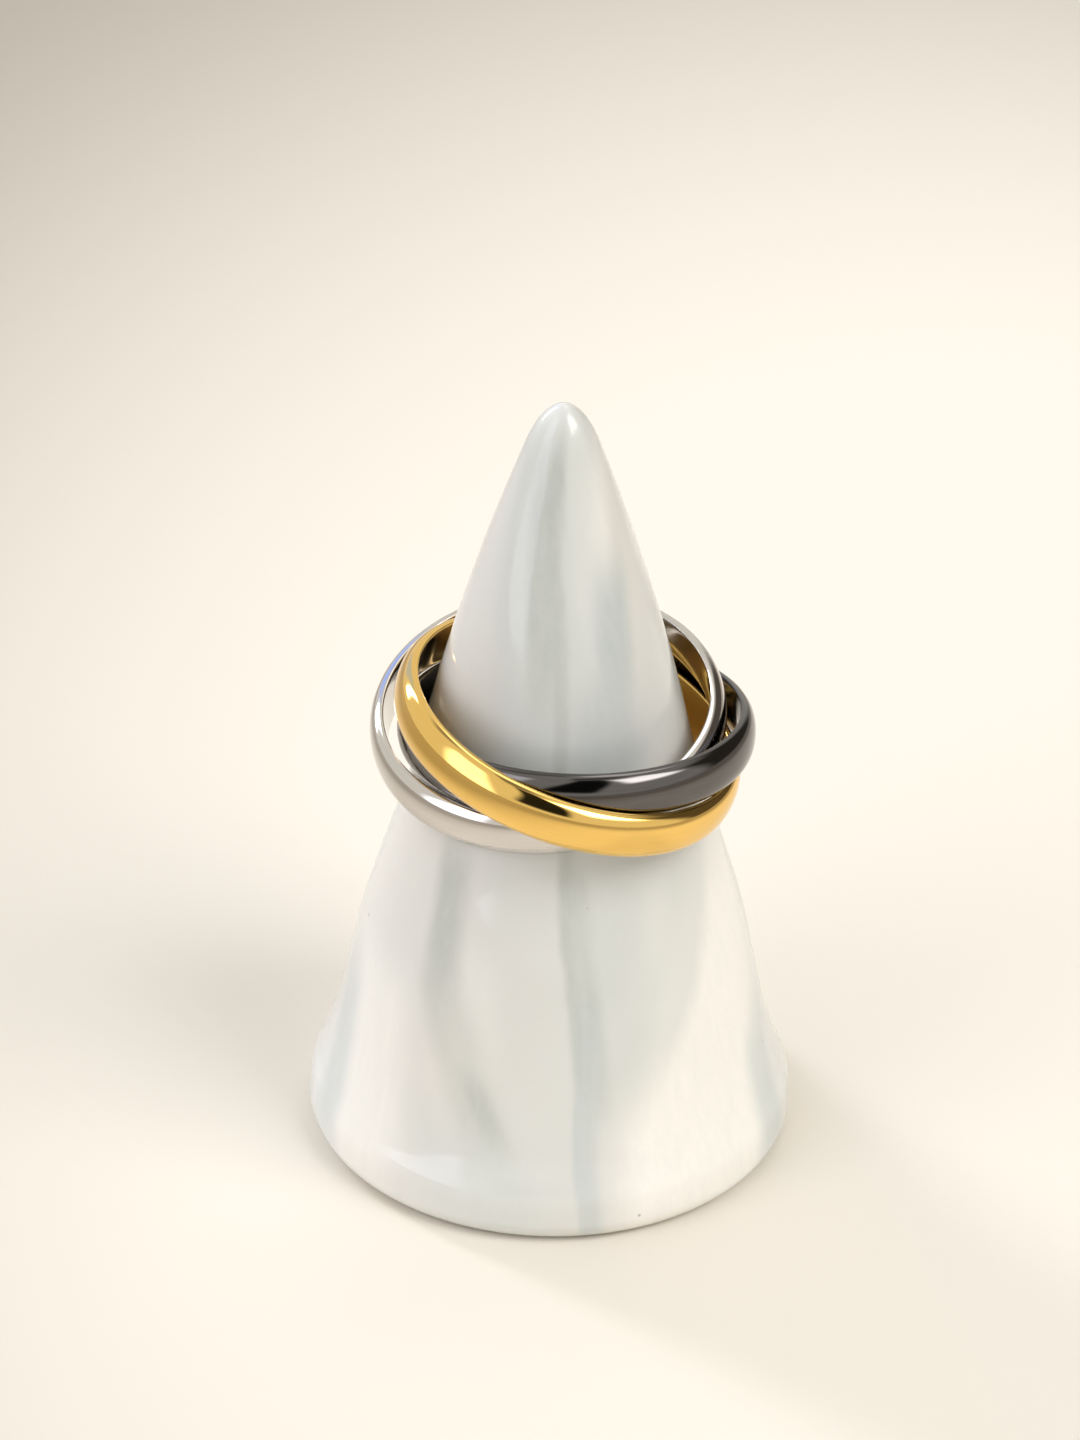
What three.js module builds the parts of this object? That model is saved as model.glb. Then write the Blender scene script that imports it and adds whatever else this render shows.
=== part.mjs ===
import * as THREE from "three";

// Three interlinked metal bands of one size lie round a glazed ceramic ring cone.
// Millimetres, +Z up, origin at the centre of the cone's flat underside.

// One band: a hoop with a domed outside and an almost flat, slightly crowned inside.
const BAND_WIDTH = 3.0;
const BAND_RIM_RADIUS = 9.74;
const BAND_DOME_HEIGHT = 0.89;
const BAND_CROWN_HEIGHT = 0.08;
const BAND_DOME_EXPONENT = 2.2;
const BAND_DOME_STEPS = 11;
const BAND_CROWN_STEPS = 5;
const BAND_SEGMENTS = 80;

// The cone's rounded foot, then its side as radii at heights up to the tip.
const CONE_FOOT_RADIUS = 14.85;
const CONE_FOOT_ROUNDING = 1.3;
const CONE_FOOT_STEPS = 5;
const CONE_SIDE_STEPS = 36;
const CONE_SEGMENTS = 48;
const CONE_SIDE = [
  { height: 1.3, radius: 14.85 },
  { height: 2.8, radius: 14.64 },
  { height: 4.0, radius: 14.16 },
  { height: 5.4, radius: 13.66 },
  { height: 7.4, radius: 13.08 },
  { height: 10.4, radius: 12.44 },
  { height: 14.4, radius: 11.56 },
  { height: 18.4, radius: 10.38 },
  { height: 22.4, radius: 9.12 },
  { height: 26.4, radius: 8.1 },
  { height: 30.4, radius: 7.14 },
  { height: 34.4, radius: 6.07 },
  { height: 38.4, radius: 4.87 },
  { height: 41.9, radius: 3.73 },
  { height: 44.9, radius: 2.66 },
  { height: 46.8, radius: 1.93 },
  { height: 47.9, radius: 1.28 },
  { height: 48.55, radius: 0.6 },
  { height: 48.8, radius: 0.0 },
];

// Where each band lies: its centre, how far it tilts, and the compass angle of its low side.
const BANDS = [
  { name: "silver_band", centre: [-0.53, 0.44, 27.47], tilt: 12.8, lowSide: -114.3 },
  { name: "gold_band", centre: [0.64, -1.46, 27.72], tilt: 17.4, lowSide: -5.2 },
  { name: "black_band", centre: [1.14, -0.36, 27.4], tilt: 6.7, lowSide: 90.5 },
];

const FINISHES = {
  ring_cone: { color: "#e6e5e1", roughness: 0.22, metalness: 0.0 },
  silver_band: { color: "#c9c6c3", roughness: 0.08, metalness: 1.0 },
  gold_band: { color: "#dcae4c", roughness: 0.08, metalness: 1.0 },
  black_band: { color: "#3b3a3e", roughness: 0.1, metalness: 1.0 },
};

const UP = new THREE.Vector3(0, 0, 1);

// Turns a profile of (radius, height) points about +Z.
function turned(profile, segments) {
  const geometry = new THREE.LatheGeometry(profile, segments);
  geometry.rotateX(Math.PI / 2);
  return geometry;
}

// A power that keeps the sign of its base.
function signedPower(base, exponent) {
  return Math.sign(base) * Math.abs(base) ** exponent;
}

// The closed section: a superellipse dome outside the rims, a shallow ellipse inside them.
function bandSection() {
  const points = [];
  const halfWidth = BAND_WIDTH / 2;
  for (let i = 0; i <= BAND_DOME_STEPS; i += 1) {
    const angle = -Math.PI / 2 + (Math.PI * i) / BAND_DOME_STEPS;
    const out = BAND_DOME_HEIGHT * Math.max(Math.cos(angle), 0) ** (2 / BAND_DOME_EXPONENT);
    const up = halfWidth * signedPower(Math.sin(angle), 2 / BAND_DOME_EXPONENT);
    points.push(new THREE.Vector2(BAND_RIM_RADIUS + out, up));
  }
  for (let i = 1; i < BAND_CROWN_STEPS; i += 1) {
    const angle = Math.PI / 2 + (Math.PI * i) / BAND_CROWN_STEPS;
    const radius = BAND_RIM_RADIUS + BAND_CROWN_HEIGHT * Math.cos(angle);
    points.push(new THREE.Vector2(radius, halfWidth * Math.sin(angle)));
  }
  points.push(points[0].clone());
  return points;
}

// The cone's outline from the middle of its underside, round the foot and up to the tip.
function coneOutline() {
  const points = [new THREE.Vector2(0, 0)];
  for (let i = 0; i < CONE_FOOT_STEPS; i += 1) {
    const angle = (Math.PI / 2) * (i / CONE_FOOT_STEPS);
    const radius = CONE_FOOT_RADIUS - CONE_FOOT_ROUNDING * (1 - Math.sin(angle));
    points.push(new THREE.Vector2(radius, CONE_FOOT_ROUNDING * (1 - Math.cos(angle))));
  }
  const knots = CONE_SIDE.map((section) => new THREE.Vector2(section.radius, section.height));
  const side = new THREE.SplineCurve(knots).getPoints(CONE_SIDE_STEPS);
  side[side.length - 1].x = 0;
  return points.concat(side);
}

// The band's axis: straight up, leant over towards the compass angle of its low side.
function leaningAxis(tilt, lowSide) {
  const lean = THREE.MathUtils.degToRad(tilt);
  const turn = THREE.MathUtils.degToRad(lowSide);
  return new THREE.Vector3(
    Math.sin(lean) * Math.cos(turn),
    Math.sin(lean) * Math.sin(turn),
    Math.cos(lean),
  );
}

function namedMesh(name, geometry) {
  const mesh = new THREE.Mesh(geometry, new THREE.MeshStandardMaterial(FINISHES[name]));
  mesh.name = name;
  return mesh;
}

const group = new THREE.Group();
group.add(namedMesh("ring_cone", turned(coneOutline(), CONE_SEGMENTS)));

const bandGeometry = turned(bandSection(), BAND_SEGMENTS);
for (const { name, centre, tilt, lowSide } of BANDS) {
  const band = namedMesh(name, bandGeometry);
  band.position.set(...centre);
  band.quaternion.setFromUnitVectors(UP, leaningAxis(tilt, lowSide));
  group.add(band);
}

export default group;
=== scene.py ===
"""Dresses a three-band rolling ring, which lies round a glazed ceramic ring cone."""

import logging
from dataclasses import dataclass, field
from enum import Enum

import bpy
import numpy as np
from mathutils import Matrix, Vector


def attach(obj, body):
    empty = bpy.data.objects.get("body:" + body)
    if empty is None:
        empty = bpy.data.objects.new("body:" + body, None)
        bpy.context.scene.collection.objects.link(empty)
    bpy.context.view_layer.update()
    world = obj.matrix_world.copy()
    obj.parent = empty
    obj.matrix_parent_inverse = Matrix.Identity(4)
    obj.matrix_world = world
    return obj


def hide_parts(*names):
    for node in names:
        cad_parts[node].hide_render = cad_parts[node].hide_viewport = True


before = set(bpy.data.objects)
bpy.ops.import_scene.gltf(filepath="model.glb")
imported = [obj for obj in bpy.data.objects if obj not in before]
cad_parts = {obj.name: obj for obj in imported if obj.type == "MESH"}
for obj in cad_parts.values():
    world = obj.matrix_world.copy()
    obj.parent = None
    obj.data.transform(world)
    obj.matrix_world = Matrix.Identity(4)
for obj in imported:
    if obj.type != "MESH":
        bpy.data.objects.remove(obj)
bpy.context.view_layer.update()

MM = 0.001
Array = np.ndarray
Point = tuple[float, float, float]
Setting = float | int | bool | str | tuple | bpy.types.NodeSocket

log = logging.getLogger("rolling_ring")


class Metal(Enum):
    """The three metals of the ring."""

    STEEL = "silver_metal"
    GOLD = "gold_metal"
    GUNMETAL = "black_metal"


# Colour and node helpers


def linear(hex_colour: str) -> tuple[float, float, float, float]:
    """Turns an sRGB hex colour into linear RGBA by the sRGB curve.

    Args:
        hex_colour: Six hex digits after a hash sign.

    Returns:
        Linear red, green, blue and an alpha of one.
    """
    srgb = np.array([int(hex_colour[i:i + 2], 16) / 255.0 for i in (1, 3, 5)])
    low, high = srgb / 12.92, ((srgb + 0.055) / 1.055) ** 2.4
    return (*np.where(srgb <= 0.04045, low, high).tolist(), 1.0)


def add_node(
    tree: bpy.types.NodeTree,
    kind: str,
    settings: dict[str, Setting] | None = None,
    inputs: dict[str | int, Setting] | None = None,
) -> bpy.types.Node:
    """Adds one node, sets its properties, and fills or links its inputs.

    Args:
        tree: The node tree that gets the node.
        kind: Blender's name for the node's type.
        settings: Properties of the node by name.
        inputs: Values or output sockets by the input's name or number.

    Returns:
        The new node.
    """
    node = tree.nodes.new(kind)
    for name, value in (settings or {}).items():
        setattr(node, name, value)
    for key, value in (inputs or {}).items():
        socket = node.inputs[key]
        if isinstance(value, bpy.types.NodeSocket):
            tree.links.new(value, socket)
        else:
            socket.default_value = value
    return node


def maths(tree: bpy.types.NodeTree, operation: str, *operands: Setting) -> bpy.types.NodeSocket:
    """Gives the result socket of one Math node on the operands."""
    inputs = dict(enumerate(operands))
    return add_node(tree, "ShaderNodeMath", {"operation": operation}, inputs).outputs[0]


def new_material(name: str) -> tuple[bpy.types.Material, bpy.types.NodeTree]:
    """Makes an empty node material and gives it with its node tree."""
    material = bpy.data.materials.new(name)
    material.use_nodes = True
    material.node_tree.nodes.clear()
    return material, material.node_tree


# Mesh helpers


def mesh_object(name: str, points: Array, faces: list[tuple[int, ...]]) -> bpy.types.Object:
    """Makes a smooth-shaded mesh object at the origin.

    Args:
        name: The object's name.
        points: Vertices in millimetres, one row each.
        faces: Vertex numbers of each face, counter-clockwise from outside.

    Returns:
        The object, linked to the scene.
    """
    mesh = bpy.data.meshes.new(name)
    mesh.from_pydata((points * MM).tolist(), [], faces)
    mesh.polygons.foreach_set("use_smooth", np.ones(len(mesh.polygons), dtype=bool))
    mesh.update()
    piece = bpy.data.objects.new(name, mesh)
    bpy.context.scene.collection.objects.link(piece)
    return piece


def grid_faces(rows: int, columns: int, wrap_rows: bool) -> Array:
    """Numbers the quads of a grid whose columns close on themselves.

    Args:
        rows: Points along the profile.
        columns: Points round the axis.
        wrap_rows: Whether the profile closes on itself as well.

    Returns:
        One row of four vertex numbers for each quad.
    """
    first = np.arange(rows if wrap_rows else rows - 1)[:, None]
    turn = np.arange(columns)[None, :]
    above, beside = (first + 1) % rows, (turn + 1) % columns
    corners = [
        first * columns + turn,
        first * columns + beside,
        above * columns + beside,
        above * columns + turn,
    ]
    return np.stack(np.broadcast_arrays(*corners), axis=-1).reshape(-1, 4)


def evenly(profile: Array, count: int) -> Array:
    """Resamples a profile at equal steps of its arc length.

    Args:
        profile: Points in two dimensions, one row each.
        count: How many points to give, both ends among them.

    Returns:
        The resampled points.
    """
    steps = np.linalg.norm(np.diff(profile, axis=0), axis=1)
    travelled = np.concatenate([[0.0], np.cumsum(steps)])
    wanted = np.linspace(0.0, travelled[-1], count)
    return np.stack([np.interp(wanted, travelled, profile[:, i]) for i in (0, 1)], axis=1)


def ramp(start: float, end: float, values: Array) -> Array:
    """Rises smoothly from 0 at the start to 1 at the end: 3 t squared less 2 t cubed."""
    share = np.clip((values - start) / (end - start), 0.0, 1.0)
    return share * share * (3.0 - 2.0 * share)


# Finishes


@dataclass(frozen=True)
class PolishedMetal:
    """Mirror-polished jewellery metal with the faint hairlines that a buffing wheel leaves."""

    name: str
    colour: str
    hairline_colour: str
    roughness: float
    hairline_spacing: float = 0.11
    waviness: float = 0.0012

    def build(self, centre: Point, axis: Vector) -> bpy.types.Material:
        """Makes the material, with its hairlines running round the band.

        Args:
            centre: The band's centre in millimetres.
            axis: The band's axis.

        Returns:
            The material.
        """
        material, tree = new_material(self.name)
        where = add_node(tree, "ShaderNodeTexCoord").outputs["Object"]
        upright = axis.rotation_difference(Vector((0.0, 0.0, 1.0))).to_matrix()
        shift = -(upright @ (Vector(centre) * MM))
        own = add_node(tree, "ShaderNodeMapping", inputs={
            "Vector": where, "Location": tuple(shift), "Rotation": tuple(upright.to_euler()),
        }).outputs[0]
        millimetres = add_node(
            tree, "ShaderNodeVectorMath", {"operation": "SCALE"}, {0: own, "Scale": 1.0 / MM})
        parts = add_node(tree, "ShaderNodeSeparateXYZ", inputs={0: millimetres.outputs[0]})
        reach = maths(tree, "SQRT", maths(
            tree, "ADD",
            maths(tree, "POWER", parts.outputs["X"], 2.0),
            maths(tree, "POWER", parts.outputs["Y"], 2.0),
        ))
        turn = maths(tree, "ARCTAN2", parts.outputs["Y"], parts.outputs["X"])
        track = add_node(tree, "ShaderNodeCombineXYZ", inputs={
            "X": reach, "Y": parts.outputs["Z"], "Z": maths(tree, "SINE", turn),
        }).outputs[0]
        # Buffing marks are hundredths of a millimetre apart, and are drawn at a tenth to show.
        hairlines = add_node(tree, "ShaderNodeTexNoise", inputs={
            "Vector": track, "Scale": 1.0 / self.hairline_spacing, "Detail": 2.0,
        }).outputs["Fac"]
        # Hand polishing leaves the surface faintly wavy over a millimetre or two.
        waves = add_node(tree, "ShaderNodeTexNoise", inputs={
            "Vector": millimetres.outputs[0], "Scale": 0.7, "Detail": 1.0,
        }).outputs["Fac"]
        colour = add_node(tree, "ShaderNodeMix", {"data_type": "RGBA"}, {
            "Factor": hairlines, 6: linear(self.colour), 7: linear(self.hairline_colour),
        }).outputs[2]
        roughness = add_node(tree, "ShaderNodeMapRange", inputs={
            "Value": hairlines, "From Min": 0.35, "From Max": 0.75,
            "To Min": self.roughness, "To Max": self.roughness + 0.05,
        }).outputs[0]
        bump = add_node(tree, "ShaderNodeBump", inputs={
            "Height": waves, "Strength": 1.0, "Distance": self.waviness * MM,
        }).outputs[0]
        shader = add_node(tree, "ShaderNodeBsdfPrincipled", inputs={
            "Base Color": colour, "Metallic": 1.0, "Roughness": roughness, "Normal": bump,
        })
        add_node(tree, "ShaderNodeOutputMaterial", inputs={"Surface": shader.outputs[0]})
        return material


FINISHES = {
    # Polished stainless steel: a neutral mirror that reads grey where the room is dark.
    Metal.STEEL: PolishedMetal("polished_stainless_steel", "#dad5cf", "#cfc9c3", 0.05),
    # Polished gold plate: a rich yellow mirror, paler where the light is full.
    Metal.GOLD: PolishedMetal("polished_gold_plate", "#f8cf7a", "#f1c46a", 0.05),
    # Black ion-plated steel: a dark charcoal mirror with a trace of brown.
    Metal.GUNMETAL: PolishedMetal("black_ion_plated_steel", "#726e6c", "#625f5d", 0.07),
}


class Tone(Enum):
    """The colours that the stain leaves under the glaze."""

    ASH = "#b0b4ac"
    SLATE = "#b4bdbc"
    CREAM = "#f4f0e8"
    SMOKE = "#cdd0ca"


@dataclass(frozen=True)
class Vein:
    """One stained streak that runs down the cone.

    Each end is a bearing in degrees, 0 towards the camera and 90 on its right, and a height in
    millimetres. The half width and the soft edges to the left and the right are millimetres.
    """

    top: tuple[float, float]
    foot: tuple[float, float]
    half_width: float
    left_edge: float
    right_edge: float
    strength: float
    tone: Tone
    fade: float = 2.5

    def cover(self, bearing: Array, height: Array, arc: Array) -> Array:
        """Works out how thickly the streak lies: ramps across it times ramps along it.

        Args:
            bearing: Bearings of the points in degrees.
            height: Their heights in millimetres.
            arc: Millimetres round the cone for each degree of bearing.

        Returns:
            The streak's share of the colour, from 0 to its strength.
        """
        (top, high), (foot, low) = self.top, self.foot
        middle = foot + (top - foot) * (height - low) / (high - low)
        aside = arc * ((bearing - middle + 180.0) % 360.0 - 180.0)
        left, right = self.left_edge, self.right_edge
        return (
            self.strength
            * ramp(-self.half_width - left, -self.half_width + left / 4.0, aside)
            * ramp(self.half_width + right, self.half_width - right / 4.0, aside)
            * ramp(low - self.fade, low + self.fade, height)
            * ramp(high + self.fade, high - self.fade, height)
        )


@dataclass(frozen=True)
class MarbledGlaze:
    """White earthenware stained in streaks under a clear, glossy glaze."""

    name: str = "marbled_glazed_earthenware"
    body: str = "#d8d9d6"
    body_warm: str = "#dedad2"
    pinhole: str = "#6e6f69"
    attribute: str = "stain"
    veins: tuple[Vein, ...] = (
        # Pale lobes between the stained streaks.
        Vein((62.0, 20.0), (38.0, 0.0), 4.6, 3.0, 3.4, 0.95, Tone.CREAM),
        Vein((-60.0, 14.0), (-52.0, 1.0), 2.2, 2.4, 2.4, 0.6, Tone.CREAM),
        Vein((-24.0, 17.0), (-22.0, 9.0), 0.9, 1.8, 1.8, 0.5, Tone.CREAM),
        Vein((32.0, 47.0), (24.0, 38.0), 0.9, 1.0, 1.2, 0.6, Tone.CREAM),
        Vein((62.0, 30.0), (52.0, 26.0), 1.2, 1.6, 1.6, 0.5, Tone.CREAM),
        Vein((-170.0, 20.0), (-150.0, 1.0), 4.2, 3.0, 3.0, 0.9, Tone.CREAM),
        Vein((118.0, 40.0), (128.0, 16.0), 1.6, 2.0, 2.0, 0.7, Tone.CREAM),
        # Soft clouds of stain.
        Vein((-12.0, 49.0), (-6.0, 24.0), 1.8, 2.4, 2.0, 0.75, Tone.SMOKE),
        Vein((0.0, 24.0), (-2.0, 0.0), 3.4, 3.0, 3.0, 0.4, Tone.SMOKE),
        Vein((-33.0, 46.0), (-20.0, 30.0), 1.0, 1.2, 1.6, 0.45, Tone.SMOKE),
        Vein((22.0, 25.0), (17.0, 8.0), 1.5, 2.0, 2.4, 0.55, Tone.SMOKE),
        Vein((58.0, 23.0), (26.0, 10.0), 1.6, 2.2, 1.6, 0.6, Tone.SMOKE),
        Vein((-26.0, 7.0), (-12.0, 0.0), 2.6, 2.6, 3.0, 0.6, Tone.SMOKE),
        Vein((-40.0, 33.0), (-34.0, 26.0), 1.0, 1.4, 1.6, 0.4, Tone.SMOKE),
        Vein((-76.0, 12.0), (-68.0, 1.0), 1.0, 1.6, 1.6, 0.5, Tone.SLATE),
        Vein((74.0, 9.0), (66.0, 0.0), 1.0, 1.6, 1.6, 0.5, Tone.SLATE),
        Vein((105.0, 16.0), (120.0, 1.0), 2.2, 2.4, 2.4, 0.6, Tone.SMOKE),
        Vein((-120.0, 44.0), (-100.0, 26.0), 1.0, 1.5, 1.5, 0.6, Tone.SMOKE),
        # The stronger streaks.
        Vein((-16.0, 46.0), (-9.0, 33.0), 0.5, 0.8, 1.0, 0.6, Tone.ASH),
        Vein((-2.0, 47.5), (1.0, 27.0), 0.22, 0.45, 0.5, 0.5, Tone.ASH),
        Vein((40.0, 40.0), (33.0, 33.0), 0.8, 1.2, 1.2, 0.75, Tone.SLATE),
        Vein((28.0, 34.0), (20.0, 26.0), 1.2, 1.6, 1.8, 0.5, Tone.SLATE),
        Vein((-41.0, 23.0), (-34.0, 14.5), 0.7, 1.0, 1.3, 0.75, Tone.ASH),
        Vein((-33.0, 15.0), (-17.0, 6.0), 1.0, 1.6, 1.7, 0.45, Tone.ASH),
        Vein((-21.0, 9.5), (-14.0, 6.5), 0.45, 0.8, 0.8, 0.55, Tone.ASH, 1.5),
        Vein((1.5, 25.0), (7.5, 11.0), 0.18, 0.4, 0.7, 0.65, Tone.ASH),
        Vein((6.0, 24.0), (15.0, 8.0), 0.15, 0.8, 0.9, 0.45, Tone.ASH),
        Vein((9.0, 15.0), (10.5, -2.0), 0.5, 0.3, 0.9, 0.52, Tone.SLATE),
        Vein((150.0, 46.0), (160.0, 2.0), 0.5, 0.4, 1.4, 0.7, Tone.ASH),
        Vein((172.0, 36.0), (166.0, 22.0), 0.9, 1.4, 1.4, 0.6, Tone.SLATE),
        Vein((-112.0, 24.0), (-122.0, 4.0), 0.9, 1.4, 1.5, 0.65, Tone.ASH),
        Vein((-88.0, 30.0), (-96.0, 14.0), 0.7, 1.2, 1.2, 0.5, Tone.SLATE),
        Vein((88.0, 38.0), (96.0, 12.0), 0.8, 1.2, 1.4, 0.6, Tone.ASH),
    )

    def stain(self, points: Array) -> Array:
        """Works out the stain's colour on the cone, streak over streak.

        The streaks wander: their bearings are shifted by a few sine waves round and up the cone.

        Args:
            points: Points on the cone in millimetres.

        Returns:
            Linear RGBA, one row for each point.
        """
        east, north, height = points.T
        arc = np.radians(np.maximum(np.hypot(east, north), 1.5))
        turn = np.arctan2(east, -north)
        sway = sum(
            size * np.sin(rounds * turn + rise * height + start)
            for size, rounds, rise, start in (
                (0.2, 1, 0.17, 0.4), (0.12, 3, -0.29, 1.9), (0.07, 5, 0.55, 4.1),
                (0.04, 11, 0.9, 2.2), (0.025, 17, -1.7, 0.7), (0.02, 29, 2.9, 5.0),
            )
        )
        bearing = np.degrees(turn) + sway / arc
        cloud = 0.5 + 0.3 * np.sin(2.0 * turn + 0.11 * height + 1.0) + 0.2 * np.sin(
            5.0 * turn - 0.23 * height)
        body, warm = (np.array(linear(shade)) for shade in (self.body, self.body_warm))
        colour = body + (warm - body) * cloud[:, None]
        for vein in self.veins:
            share = vein.cover(bearing, height, arc)[:, None]
            colour = colour + (np.array(linear(vein.tone.value)) - colour) * share
        return colour

    def build(self) -> bpy.types.Material:
        """Makes the material: the stain, its grain and the glaze's pinholes and pooling."""
        material, tree = new_material(self.name)
        stain = add_node(
            tree, "ShaderNodeAttribute", {"attribute_name": self.attribute}).outputs["Color"]
        where = add_node(tree, "ShaderNodeTexCoord").outputs["Object"]
        # The stain gathers in upright fibres, drawn at about half a millimetre apart.
        grain = self.noise(tree, where, (1.7, 1.7, 0.16), 3.0)
        # Fine speckle of the stain, a quarter of a millimetre across.
        speck = self.noise(tree, where, (4.0, 4.0, 2.6), 1.0)
        mottle = maths(tree, "ADD", maths(tree, "MULTIPLY", grain, 0.7), maths(
            tree, "MULTIPLY", speck, 0.3))
        thin = add_node(tree, "ShaderNodeMapRange", inputs={
            "Value": mottle, "From Min": 0.35, "From Max": 0.68, "To Min": 0.0, "To Max": 0.22,
        }).outputs[0]
        colour = add_node(tree, "ShaderNodeMix", {"data_type": "RGBA"}, {
            "Factor": thin, 6: stain, 7: linear(self.body)}).outputs[2]
        # Pinholes in the glaze, a few millimetres apart and about a tenth across.
        pits = add_node(tree, "ShaderNodeTexVoronoi", inputs={"Vector": where, "Scale": 300.0})
        chosen = maths(tree, "GREATER_THAN", add_node(tree, "ShaderNodeSeparateColor", inputs={
            0: pits.outputs["Color"]}).outputs[0], 0.4)
        pit = maths(tree, "MULTIPLY", chosen, add_node(
            tree, "ShaderNodeMapRange", {"interpolation_type": "SMOOTHSTEP"}, {
                "Value": pits.outputs["Distance"], "From Min": 0.012, "From Max": 0.045,
                "To Min": 0.55, "To Max": 0.0,
            }).outputs[0])
        colour = add_node(tree, "ShaderNodeMix", {"data_type": "RGBA"}, {
            "Factor": pit, 6: colour, 7: linear(self.pinhole)}).outputs[2]
        # The glaze pools and thins by a few hundredths of a millimetre.
        pool = self.noise(tree, where, (0.35, 0.35, 0.2), 2.0)
        bump = add_node(tree, "ShaderNodeBump", inputs={
            "Height": maths(tree, "SUBTRACT", pool, pit), "Strength": 1.0, "Distance": 0.03 * MM,
        }).outputs[0]
        shader = add_node(tree, "ShaderNodeBsdfPrincipled", inputs={
            "Base Color": colour, "Roughness": 0.5, "IOR": 1.5, "Coat Weight": 1.0,
            "Coat Roughness": 0.05, "Coat IOR": 1.5, "Coat Normal": bump,
        })
        add_node(tree, "ShaderNodeOutputMaterial", inputs={"Surface": shader.outputs[0]})
        return material

    @staticmethod
    def noise(
        tree: bpy.types.NodeTree, where: bpy.types.NodeSocket, per_mm: Point, detail: float,
    ) -> bpy.types.NodeSocket:
        """Gives a noise pattern that has so many features to a millimetre along X, Y and Z."""
        scaled = add_node(tree, "ShaderNodeVectorMath", {"operation": "MULTIPLY"}, {
            0: where, 1: tuple(count / MM for count in per_mm)}).outputs[0]
        return add_node(tree, "ShaderNodeTexNoise", inputs={
            "Vector": scaled, "Scale": 1.0, "Detail": detail}).outputs["Fac"]


# Pieces


@dataclass
class Band:
    """One hoop of the ring, domed outside and almost flat inside. Sizes are in millimetres."""

    name: str
    metal: Metal
    body: str
    centre: Point
    tilt: float
    low_side: float
    width: float = 3.0
    rim_radius: float = 9.74
    dome_height: float = 0.89
    dome_exponent: float = 2.2
    crown_height: float = 0.08
    dome_points: int = 56
    crown_points: int = 24
    turns: int = 480
    fine_steps: int = 2000

    def axis(self) -> Vector:
        """Gives straight up, leant by the tilt towards the compass angle of the low side."""
        tilt, low = np.radians(self.tilt), np.radians(self.low_side)
        return Vector((np.sin(tilt) * np.cos(low), np.sin(tilt) * np.sin(low), np.cos(tilt)))

    def section(self) -> Array:
        """Works out the closed section as radius and height.

        The dome is a superellipse: the cosine and the sine of an angle, each to the power of two
        over the exponent, times the dome's height and half the width. The crown is a shallow
        half ellipse that bows inwards between the rims.

        Returns:
            Points once round the section, with no point twice.
        """
        power = 2.0 / self.dome_exponent
        half = self.width / 2.0
        angle = np.linspace(-np.pi / 2.0, np.pi / 2.0, self.fine_steps)
        cosine, sine = np.clip(np.cos(angle), 0.0, None), np.sin(angle)
        dome = np.stack([
            self.rim_radius + self.dome_height * cosine ** power,
            half * np.sign(sine) * np.abs(sine) ** power,
        ], axis=1)
        inner = np.stack([
            self.rim_radius - self.crown_height * cosine, -half * sine], axis=1)
        return np.concatenate([
            evenly(dome, self.dome_points)[:-1], evenly(inner, self.crown_points)[:-1]])

    def surface(self) -> tuple[Array, Array]:
        """Turns the section round the axis: radius times cosine and sine, and height, then leant.

        Returns:
            The vertices in millimetres and the quads.
        """
        section = self.section()
        turn = np.linspace(0.0, 2.0 * np.pi, self.turns, endpoint=False)
        radius, height = section[:, :1], section[:, 1:]
        level = np.stack(np.broadcast_arrays(
            radius * np.cos(turn), radius * np.sin(turn), height), axis=-1).reshape(-1, 3)
        lean = Vector((0.0, 0.0, 1.0)).rotation_difference(self.axis()).to_matrix()
        points = level @ np.array(lean).T + np.array(self.centre)
        return points, grid_faces(len(section), self.turns, wrap_rows=True)

    def build(self) -> bpy.types.Object:
        """Makes the band, dresses it and sets it on its body."""
        points, faces = self.surface()
        piece = mesh_object(f"{self.name}_polished", points, faces.tolist())
        piece.data.materials.append(FINISHES[self.metal].build(self.centre, self.axis()))
        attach(piece, self.body)
        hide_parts(self.name)
        log.info("%s: %d faces on %s", piece.name, len(piece.data.polygons), self.body)
        return piece


@dataclass
class RollingRing:
    """The three interlinked bands, each leaning its own way."""

    bands: list[Band] = field(default_factory=lambda: [
        Band(
            "silver_band", Metal.STEEL, "cone_and_silver_band", (-0.53, 0.44, 27.47), 12.8, -114.3),
        Band("gold_band", Metal.GOLD, "gold_band", (0.64, -1.46, 27.72), 17.4, -5.2),
        Band("black_band", Metal.GUNMETAL, "black_band", (1.14, -0.36, 27.4), 6.7, 90.5),
    ])

    def build(self) -> list[bpy.types.Object]:
        """Makes the three bands."""
        return [band.build() for band in self.bands]


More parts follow.
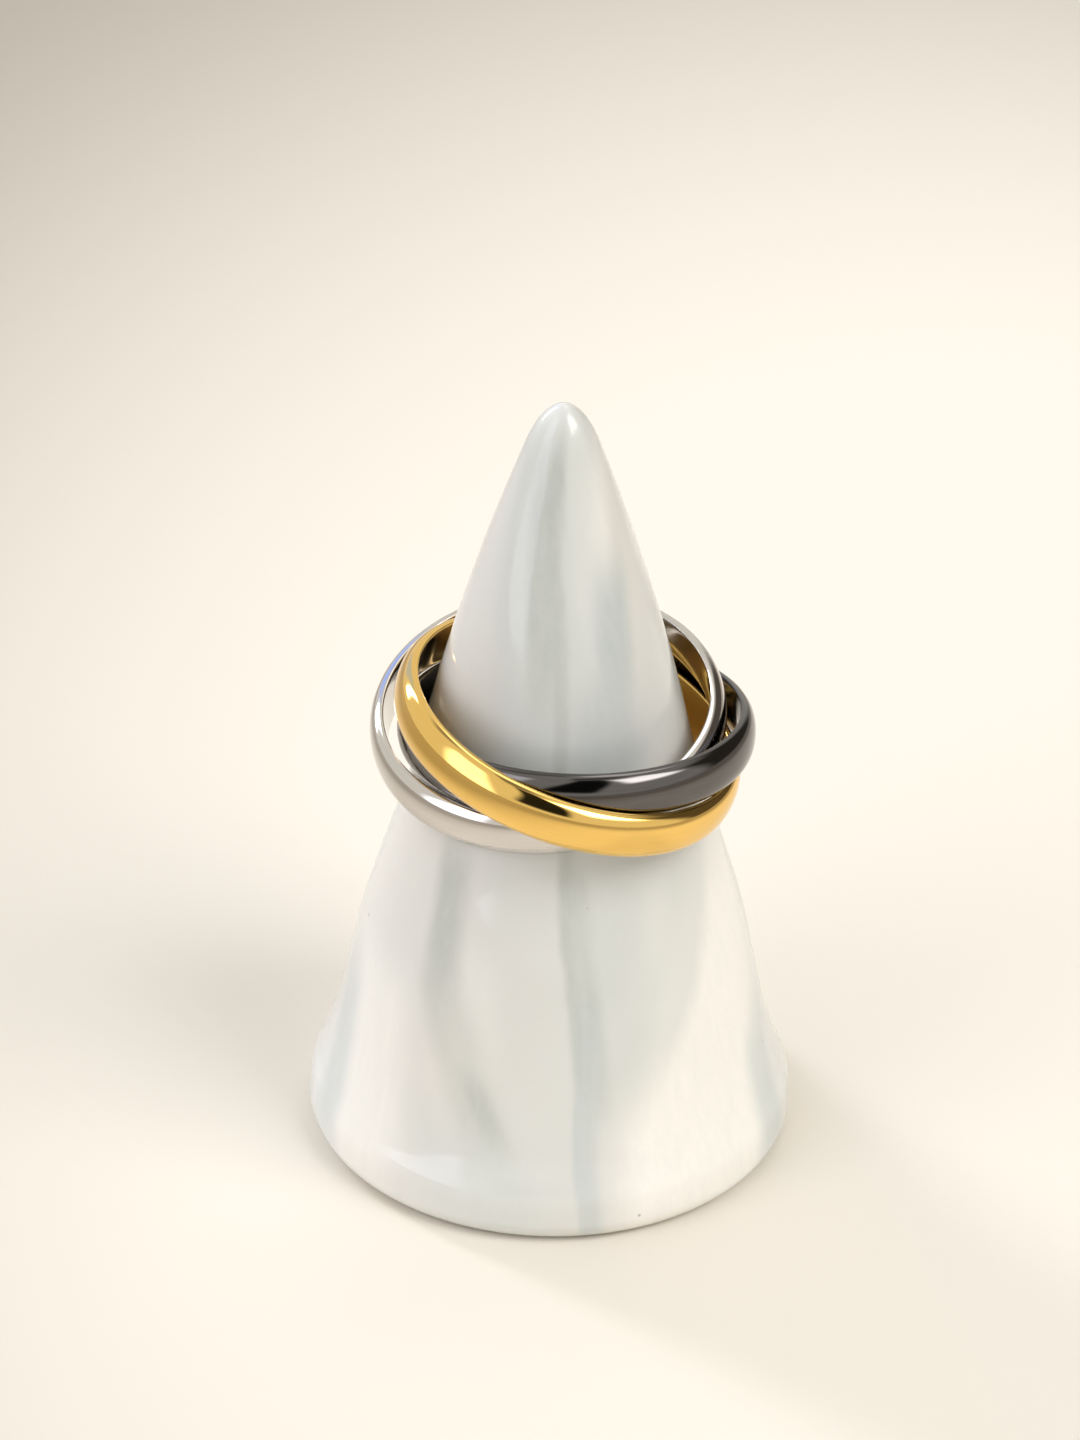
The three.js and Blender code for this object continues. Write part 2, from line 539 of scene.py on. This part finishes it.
@dataclass
class RingCone:
    """The ceramic cone: a rounded foot, a flared side and a rounded tip. Millimetres."""

    foot_radius: float = 14.85
    foot_rounding: float = 1.3
    turns: int = 380
    rows: int = 256
    curve_steps: int = 40
    side: tuple[tuple[float, float], ...] = (
        (1.3, 14.85), (2.8, 14.64), (4.0, 14.16), (5.4, 13.66), (7.4, 13.08), (10.4, 12.44),
        (14.4, 11.56), (18.4, 10.38), (22.4, 9.12), (26.4, 8.1), (30.4, 7.14), (34.4, 6.07),
        (38.4, 4.87), (41.9, 3.73), (44.9, 2.66), (46.8, 1.93), (47.9, 1.28), (48.55, 0.6),
        (48.8, 0.0),
    )

    def outline(self) -> Array:
        """Works out the cone's outline as radius and height, from the foot's edge to the tip.

        The foot is a quarter circle. The side is a uniform Catmull-Rom spline through the
        heights and radii, with its end points doubled.

        Returns:
            Points at equal steps of the outline's length, the tip last.
        """
        angle = np.linspace(0.0, np.pi / 2.0, self.curve_steps, endpoint=False)
        foot = np.stack([
            self.foot_radius - self.foot_rounding * (1.0 - np.sin(angle)),
            self.foot_rounding * (1.0 - np.cos(angle)),
        ], axis=1)
        knots = np.array(self.side)[:, ::-1]
        knots = np.concatenate([knots[:1], knots, knots[-1:]])
        before, start, end, after = (knots[i:len(knots) - 3 + i, None, :] for i in range(4))
        step = np.linspace(0.0, 1.0, self.curve_steps, endpoint=False)[None, :, None]
        entry, leave = (end - before) / 2.0, (after - start) / 2.0
        curve = (
            (2.0 * start - 2.0 * end + entry + leave) * step ** 3
            + (3.0 * end - 3.0 * start - 2.0 * entry - leave) * step ** 2
            + entry * step + start
        ).reshape(-1, 2)
        return evenly(np.concatenate([foot, curve, knots[-1:]]), self.rows)

    def surface(self) -> tuple[Array, list[tuple[int, ...]]]:
        """Turns the outline round +Z and closes it at the tip and under the foot.

        Returns:
            The vertices in millimetres and the faces.
        """
        outline = self.outline()
        turn = np.linspace(0.0, 2.0 * np.pi, self.turns, endpoint=False)
        radius, height = outline[:-1, :1], outline[:-1, 1:]
        rings = np.stack(np.broadcast_arrays(
            radius * np.cos(turn), radius * np.sin(turn), height), axis=-1).reshape(-1, 3)
        ends = np.array([[0.0, 0.0, outline[-1, 1]], [0.0, 0.0, 0.0]])
        tip, under = len(rings), len(rings) + 1
        here = np.arange(self.turns)
        there = (here + 1) % self.turns
        last = tip - self.turns
        quads = grid_faces(len(outline) - 1, self.turns, wrap_rows=False).tolist()
        cap = np.stack([last + here, last + there, np.full_like(here, tip)], axis=1).tolist()
        sole = np.stack([there, here, np.full_like(here, under)], axis=1).tolist()
        return np.concatenate([rings, ends]), quads + cap + sole

    def build(self) -> bpy.types.Object:
        """Makes the cone, dresses it and sets it on its body."""
        points, faces = self.surface()
        piece = mesh_object("ring_cone_glazed", points, faces)
        glaze = MarbledGlaze()
        stain = piece.data.color_attributes.new(glaze.attribute, "FLOAT_COLOR", "POINT")
        stain.data.foreach_set("color", glaze.stain(points).ravel())
        piece.data.materials.append(glaze.build())
        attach(piece, "cone_and_silver_band")
        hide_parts("ring_cone")
        log.info("%s: %d faces", piece.name, len(piece.data.polygons))
        return piece


# Studio


@dataclass(frozen=True)
class Panel:
    """One soft-edged panel of light or shade round the set. Angles are in degrees.

    The bearing is 0 towards the camera and 90 on its right, and the rise is above the horizon.
    The lean moves the panel's bearing by so many degrees for each degree that it climbs.
    """

    bearing: float
    rise: float
    half_width: float
    half_height: float
    edge: float
    brightness: float
    colour: str = "#ffffff"
    lean: float = 0.0

    def paint(
        self,
        tree: bpy.types.NodeTree,
        below: bpy.types.NodeSocket,
        bearing: bpy.types.NodeSocket,
        rise: bpy.types.NodeSocket,
    ) -> bpy.types.NodeSocket:
        """Lays the panel over the room's light.

        Args:
            tree: The world's node tree.
            below: The light that is there so far.
            bearing: The direction's bearing in degrees.
            rise: The direction's rise in degrees.

        Returns:
            The light with the panel in it.
        """
        climb = maths(tree, "SUBTRACT", rise, self.rise)
        middle = add_node(tree, "ShaderNodeMath", {"operation": "MULTIPLY_ADD"}, {
            0: climb, 1: self.lean, 2: self.bearing}).outputs[0]
        aside = maths(tree, "ABSOLUTE", maths(
            tree, "WRAP", maths(tree, "SUBTRACT", bearing, middle), 180.0, -180.0))
        cover = [
            add_node(tree, "ShaderNodeMapRange", {"interpolation_type": "SMOOTHSTEP"}, {
                "Value": distance, "From Min": half - self.edge, "From Max": half + self.edge,
                "To Min": 1.0, "To Max": 0.0,
            }).outputs[0]
            for distance, half in (
                (aside, self.half_width), (maths(tree, "ABSOLUTE", climb), self.half_height))
        ]
        glow = tuple(self.brightness * part for part in linear(self.colour)[:3]) + (1.0,)
        return add_node(tree, "ShaderNodeMix", {"data_type": "RGBA"}, {
            "Factor": maths(tree, "MULTIPLY", *cover), 6: below, 7: glow,
        }).outputs[2]


@dataclass
class Studio:
    """A pale floor with a pool of light painted on it, soft light all round, and the camera.

    The eye's place and the floor's reach are in millimetres, the pitch and roll in degrees. The
    focal length is in pixels of a picture that is frame_pixels long.
    """

    pitch: float = 31.311
    roll: float = -1.085
    eye: Point = (-1.02, -256.97, 183.90)
    focal_pixels: float = 5073.9
    frame_pixels: float = 1440.0
    sensor_width: float = 36.0
    floor_reach: float = 3000.0
    room_light: float = 0.84
    panels: tuple[Panel, ...] = (
        Panel(122.0, 20.0, 32.0, 24.0, 8.0, 0.12, "#e8dccb"),
        Panel(60.0, 86.0, 70.0, 13.0, 5.0, 0.25),
        Panel(-58.0, 27.0, 18.0, 32.0, 5.0, 2.5, "#f4f5ff"),
        Panel(60.0, 49.0, 22.0, 15.0, 6.0, 6.6),
        Panel(157.0, 62.0, 20.0, 9.0, 5.0, 2.6),
        Panel(-148.0, 67.0, 26.0, 7.0, 5.0, 0.35),
        Panel(-151.0, 24.0, 8.0, 16.0, 4.0, 1.4, "#a9c0ff"),
        Panel(-134.0, 26.0, 4.0, 16.0, 2.0, 17.0, "#f6f9ff", lean=-0.25),
        Panel(7.0, 40.0, 18.0, 32.0, 4.0, 0.02, lean=0.4),
    )

    def floor(self) -> bpy.types.Object:
        """Lays the floor under the cone."""
        reach = self.floor_reach
        corners = np.array([
            (-reach, -reach, 0.0), (reach, -reach, 0.0), (reach, reach, 0.0), (-reach, reach, 0.0)])
        floor = mesh_object("floor", corners, [(0, 1, 2, 3)])
        material, tree = new_material("cream_paper_painted_light_pool")
        where = add_node(tree, "ShaderNodeTexCoord").outputs["Object"]
        # A painted pool of light: the paper is painted palest in a patch to the right of the cone,
        # longer in depth than across.
        painted_light_pool = add_node(tree, "ShaderNodeMapping", inputs={
            "Vector": where, "Location": (-34.0 * MM, -12.0 * MM, 0.0), "Scale": (1.0, 0.6, 1.0)})
        distance = add_node(tree, "ShaderNodeVectorMath", {"operation": "LENGTH"}, {
            0: painted_light_pool.outputs[0]}).outputs["Value"]
        beyond_painted_light_pool = add_node(tree, "ShaderNodeMapRange", {"interpolation_type": "SMOOTHSTEP"}, {
            "Value": distance, "From Min": 42.0 * MM, "From Max": 140.0 * MM}).outputs[0]
        # Paper fibres, drawn at a third of a millimetre.
        fibre = add_node(tree, "ShaderNodeTexNoise", inputs={
            "Vector": where, "Scale": 3000.0, "Detail": 2.0}).outputs["Fac"]
        # Painted light and shade: pale cream in the pool, painted darker and greyer further away,
        # where the floor falls into shade.
        colour = add_node(tree, "ShaderNodeMix", {"data_type": "RGBA"}, {
            "Factor": beyond_painted_light_pool, 6: linear("#e6dfd3"), 7: linear("#a0988b")}).outputs[2]
        bump = add_node(tree, "ShaderNodeBump", inputs={
            "Height": fibre, "Strength": 0.2, "Distance": 0.02 * MM}).outputs[0]
        shader = add_node(tree, "ShaderNodeBsdfPrincipled", inputs={
            "Base Color": colour, "Roughness": 0.8, "Normal": bump,
        })
        add_node(tree, "ShaderNodeOutputMaterial", inputs={"Surface": shader.outputs[0]})
        floor.data.materials.append(material)
        return floor

    def camera(self) -> bpy.types.Object:
        """Sets up the camera from its eye, its pitch, its roll and its focal length."""
        pitch, roll = np.radians(self.pitch), np.radians(self.roll)
        right = (np.cos(roll), -np.sin(pitch) * np.sin(roll), -np.cos(pitch) * np.sin(roll))
        up = (np.sin(roll), np.sin(pitch) * np.cos(roll), np.cos(pitch) * np.cos(roll))
        back = (0.0, -np.cos(pitch), np.sin(pitch))
        lens = bpy.data.cameras.new("camera")
        lens.sensor_width = self.sensor_width
        lens.lens = self.focal_pixels / self.frame_pixels * self.sensor_width
        lens.clip_start, lens.clip_end = 0.01, 20.0
        camera = bpy.data.objects.new("camera", lens)
        camera.matrix_world = Matrix.Translation(Vector(self.eye) * MM) @ Matrix(
            (right, up, back)).transposed().to_4x4()
        bpy.context.scene.collection.objects.link(camera)
        bpy.context.scene.camera = camera
        return camera

    def room(self) -> None:
        """Fills the room with pale light, with soft panels of light and shade in it."""
        world = bpy.data.worlds.new("room")
        world.use_nodes = True
        world.cycles.sampling_method = "MANUAL"
        world.cycles.sample_map_resolution = 512
        tree = world.node_tree
        tree.nodes.clear()
        way = add_node(tree, "ShaderNodeSeparateXYZ", inputs={
            0: add_node(tree, "ShaderNodeTexCoord").outputs["Generated"]})
        east, north, up = way.outputs
        bearing = maths(tree, "DEGREES", maths(
            tree, "ARCTAN2", east, maths(tree, "MULTIPLY", north, -1.0)))
        rise = maths(tree, "DEGREES", maths(tree, "ARCSINE", up))
        light = add_node(tree, "ShaderNodeRGB")
        light.outputs[0].default_value = tuple(
            self.room_light * part for part in linear("#fffcf4")[:3]) + (1.0,)
        glow = light.outputs[0]
        for panel in self.panels:
            glow = panel.paint(tree, glow, bearing, rise)
        sky = add_node(tree, "ShaderNodeBackground", inputs={"Color": glow, "Strength": 1.0})
        add_node(tree, "ShaderNodeOutputWorld", inputs={"Surface": sky.outputs[0]})
        bpy.context.scene.world = world

    def build(self) -> None:
        """Makes the floor, the room's light and the camera."""
        self.floor()
        self.room()
        self.camera()
        bpy.context.scene.view_settings.view_transform = "Standard"
        log.info("studio: %d panels", len(self.panels))


def main() -> None:
    """Builds the cone, the ring and the studio."""
    logging.basicConfig(level=logging.INFO, format="%(message)s")
    RingCone().build()
    RollingRing().build()
    Studio().build()


if __name__ == "__main__":
    main()
